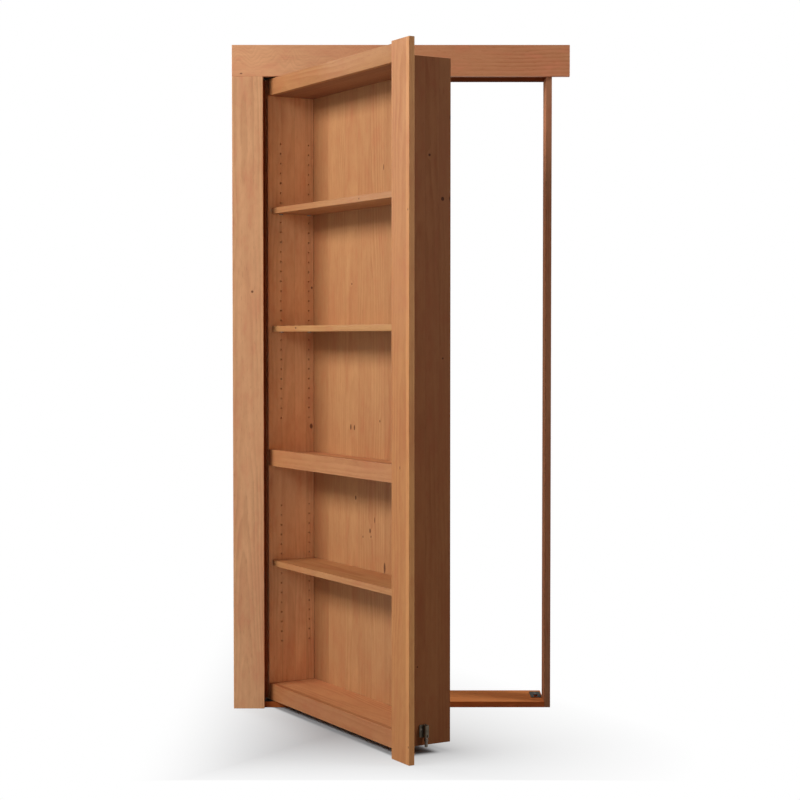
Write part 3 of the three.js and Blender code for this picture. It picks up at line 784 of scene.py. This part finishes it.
plateLow, plateHigh = shutBox("bolt_bracket")
rodLow, rodHigh = shutBox("bolt")
bottom, top = plateLow.z, plateHigh.z
edge, past, wide = latch["chamfer"], latch["past"], latch["barrel"]
axisX = plateHigh.x - wide
axisY = (rodLow.y + rodHigh.y) / 2
studZ = rodLow.z + latch["studRise"]
barrel = turnedShape([(0, bottom), (wide - edge, bottom), (wide, bottom + edge), (wide, top - edge),
                      (wide - edge, top), (0, top)], axisX, axisY)
plate = blockShape(plateLow, Vector((plateLow.x + latch["plate"], plateHigh.y, top)), latch["plateCorner"], 0)
web = blockShape(Vector((plateLow.x + latch["webSetback"], axisY - wide * latch["web"], bottom + edge)),
                 Vector((axisX, axisY + wide * latch["web"], top - edge)))
roof = top - latch["roof"]
bore = turnedShape([(0, bottom - past), (latch["bore"], bottom - past), (latch["bore"], roof), (0, roof)],
                   axisX, axisY)
slot = blockShape(Vector((axisX, axisY - latch["slotHalf"], bottom - past)),
                  Vector((plateHigh.x + past, axisY + latch["slotHalf"], studZ + latch["slotRoom"])),
                  latch["slotCorner"], 0)
hole, shank = latch["screwHole"], latch["screwHole"] * latch["screwShank"]
sink = [(0, -latch["screwDepth"]), (shank, -latch["screwDepth"]), (shank, -latch["screwSink"]), (hole, 0),
        (hole, latch["screwPast"]), (0, latch["screwPast"])]
sinks = [outwardShape(sink, headPlace(node, True, "out")) for node in ("bracket_screw_1", "bracket_screw_2")]
mesh = carved(plate, [web, barrel], [bore, slot] + sinks)
newPiece("boltBarrel", mesh, "door", ["bolt_bracket"], finishes["aged_steel"])

rodWide, collar = latch["rod"], latch["collar"]
collarLow = rodLow.z + latch["collarRise"]
collarHigh = collarLow + latch["collarHeight"]
rod = turnedShape([(0, rodLow.z)] + [(rodWide + out, rodLow.z + rise) for out, rise in latch["tip"]] + [
    (rodWide, collarLow), (collar - edge, collarLow), (collar, collarLow + edge), (collar, collarHigh - edge),
    (collar - edge, collarHigh), (rodWide, collarHigh), (rodWide, rodHigh.z - edge), (rodWide - edge, rodHigh.z),
    (0, rodHigh.z)], axisX, axisY)
stud, reach = latch["stud"], rodHigh.x - axisX
knob = outwardShape([(0, 0), (stud, 0), (stud, reach - latch["studEdge"]), (stud - latch["studEdge"], reach),
                     (0, reach)], (axisX, axisY, studZ))
newPiece("boltRod", carved(rod, [knob], []), "bolt", ["bolt"], finishes["dull_steel"])
print("bolt made")


hardware = {
    "bright_steel": ["bolt_spring"],
    "black_steel": ["strike_plate", "lower_pivot_plate", "upper_pivot_plate", "lower_pivot_leaf",
                    "upper_pivot_leaf"],
    "nylon": ["lower_bush", "upper_bush", "thrust_washer"],
}
for finish, nodes in hardware.items():
    for node in nodes:
        for slot in frame["nodes"][node].material_slots:
            slot.material = finishes[finish]
print("hardware finished")


# Camera

camera = dict(place=(-0.01808, -5.83497, 1.2102), down=2.0031, left=-0.030, focal=1774.6, width=800)

lens = bpy.data.cameras.new("camera")
lens.sensor_width = 36
lens.lens = camera["focal"] / camera["width"] * lens.sensor_width
lens.clip_end = 100
viewer = bpy.data.objects.new("camera", lens)
viewer.location = camera["place"]
viewer.rotation_euler = (math.radians(90 - camera["down"]), 0, math.radians(camera["left"]))
bpy.context.scene.collection.objects.link(viewer)
bpy.context.scene.camera = viewer


# Light

lampAim = (0, -0.2, 1.05)
lamps = dict(
    keyLamp=dict(place=(-3.72, -1.85, 3.3), size=(3.0, 1.3), power=165),
    lowLamp=dict(place=(-3.69, -2.58, 1.2), size=(1.2, 1.6), power=12),
    frontLamp=dict(place=(-2.3, -3.4, 2.6), size=(1.4, 1.4), power=18),
    fillLamp=dict(place=(3.9, -1.2, 2.2), size=(1.4, 1.4), power=80),
    rearLamp=dict(place=(-3.0, 3.2, 2.6), size=(1.6, 1.6), power=100),
    farLamp=dict(place=(3.0, 3.2, 2.6), size=(1.6, 1.6), power=15),
)
for name, lamp in lamps.items():
    light = bpy.data.lights.new(name, "AREA")
    light.shape = "RECTANGLE"
    light.size, light.size_y = lamp["size"]
    light.energy = lamp["power"]
    holder = bpy.data.objects.new(name, light)
    holder.location = lamp["place"]
    aim = Vector(lampAim) - holder.location
    holder.rotation_euler = aim.to_track_quat("-Z", "Y").to_euler()
    bpy.context.scene.collection.objects.link(holder)

room = dict(ambient=0.02, white=1.0)
world = bpy.data.worlds.new("studio")
world.use_nodes = True
world.node_tree.nodes.clear()
bench = Bench(world.node_tree)
glow = bench.seenDirectly() * (room["white"] - room["ambient"]) + room["ambient"]
sky = bench.add("ShaderNodeBackground", None, {"Color": (1, 1, 1, 1), "Strength": glow})
bench.add("ShaderNodeOutputWorld", None, {"Surface": sky})
bpy.context.scene.world = world


# Floor: white towards the edges of the picture, grey beside and under the door of the rest pose, with a painted
# shadow under that door

floorLook = dict(
    half=14.0, drop=0.0004,
    colour=linear(184, 186, 188), speck=linear(177, 179, 181), speckShare=0.1, speckOften=40,
    doorEnd=0.8, doorBack=0.137, behind=0.75,  # past the door's end and back it whitens over this length
    left=(-0.08, -0.78), before=(-0.25, -1.25), cut=(-0.955, -1.025),
    # under: the footprint of the door in the rest pose, kept from whitening and darkened there by a painted
    # shadow
    under=dict(along=((-0.05, 0.0), (0.84, 0.8)), across=((-0.03, -0.014), (0.137, 0.1))), underShade=0.1)

shape = bmesh.new()
bmesh.ops.create_grid(shape, x_segments=2, y_segments=2, size=floorLook["half"],
                      matrix=Matrix.Translation((0, 0, -floorLook["drop"])))
floor = bpy.data.objects.new("floor", meshOf(shape, "floor"))
bpy.context.scene.collection.objects.link(floor)
material, bench = newMaterial("paleFloor")
spot = bench.add("ShaderNodeTexCoord", out="Object")
speck = bench.noise(spot, 2.0, scale=floorLook["speckOften"])
pale = bench.blend(speck * floorLook["speckShare"], floorLook["colour"], floorLook["speck"])
x, y, _ = bench.parts(spot)
along, across, _ = bench.parts(onShutDoor(bench, spot))
past = (along - floorLook["doorEnd"]).most(0.0)
aside = (across - floorLook["doorBack"]).most(0.0)
behind = (past * past + aside * aside).root() / floorLook["behind"]
away = behind.root().root().most(x.ramp(*floorLook["left"]))
away = away.most(y.ramp(*floorLook["before"])).most(y.ramp(*floorLook["cut"]))
under = 1.0
for place, key in ((along, "along"), (across, "across")):
    for edges in floorLook["under"][key]:
        under = under * place.ramp(*edges)
away = away * (1.0 - under)
# painted shadow: the floor under the door of the rest pose is blended towards black
pale = bench.blend(under * floorLook["underShade"], pale, (0.0, 0.0, 0.0, 1.0))
plain = bench.add("ShaderNodeBsdfDiffuse", None, {"Color": pale})
white = bench.add("ShaderNodeEmission", None, {"Color": (1, 1, 1, 1), "Strength": 1.0})
surface = bench.add("ShaderNodeMixShader", None, [bench.seenDirectly() * away, plain, white])
bench.add("ShaderNodeOutputMaterial", None, {"Surface": surface})
floor.data.materials.append(material)

bpy.context.scene.view_settings.view_transform = "Standard"
print("scene ready")
